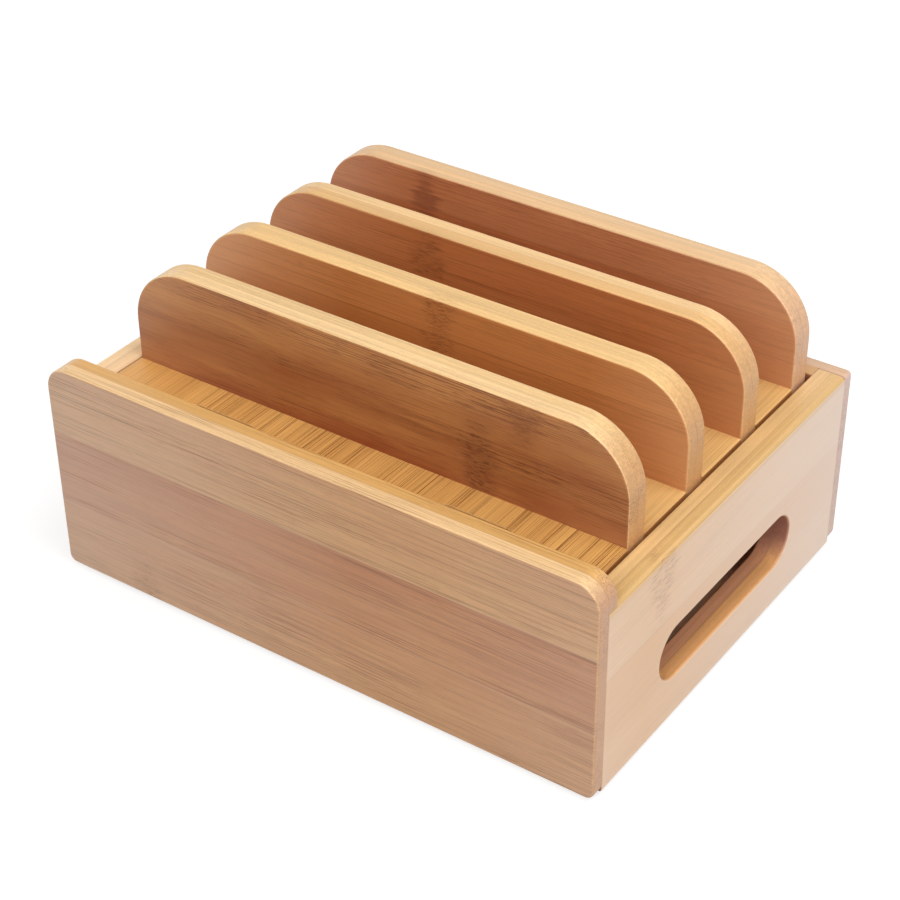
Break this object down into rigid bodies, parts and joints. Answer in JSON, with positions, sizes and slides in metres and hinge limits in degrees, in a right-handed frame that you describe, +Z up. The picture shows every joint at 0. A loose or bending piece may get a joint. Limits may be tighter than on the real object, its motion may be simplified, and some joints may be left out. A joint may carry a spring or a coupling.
{
  "type": "charging station organizer",
  "caption": "Bamboo box that hides a charger, with hand holes in its ends and a lift-out tray of upright round-cornered dividers for charging phones and tablets.",
  "frame": {"origin": "on the table under the middle of the box", "axes": "+X to the right along the front, +Y to the back, +Z up"},
  "size_m": [0.255, 0.193, 0.1295],
  "materials": {
    "bamboo_wall": "sanded and clear lacquered, satin",
    "bamboo_divider": "sanded and clear lacquered, satin",
    "bamboo_deck": "sanded and clear lacquered, satin",
    "bamboo_inner": "sanded, thin clear lacquer",
    "zinc_steel": "bright zinc plated",
    "rubber": "matt moulded"
  },
  "bodies": {
    "box": {"front_panel": "bamboo_wall", "back_panel": "bamboo_wall", "left_end_panel": "bamboo_wall", "right_end_panel": "bamboo_wall", "base_panel": "bamboo_inner", "left_rail": "bamboo_inner", "right_rail": "bamboo_inner", "base_screws": "zinc_steel", "left_rail_screws": "zinc_steel", "right_rail_screws": "zinc_steel", "foot_front_left": "rubber", "foot_front_right": "rubber", "foot_back_left": "rubber", "foot_back_right": "rubber"},
    "tray": {"deck_panel": "bamboo_deck", "divider_1": "bamboo_divider", "divider_2": "bamboo_divider", "divider_3": "bamboo_divider", "divider_4": "bamboo_divider", "divider_1_screws": "zinc_steel", "divider_2_screws": "zinc_steel", "divider_3_screws": "zinc_steel", "divider_4_screws": "zinc_steel"}
  },
  "joints": [
    {"name": "tray_lift", "type": "slide", "parent": "box", "child": "tray", "axis": [0, 0, 1], "range_m": [0, 0.1]}
  ]
}
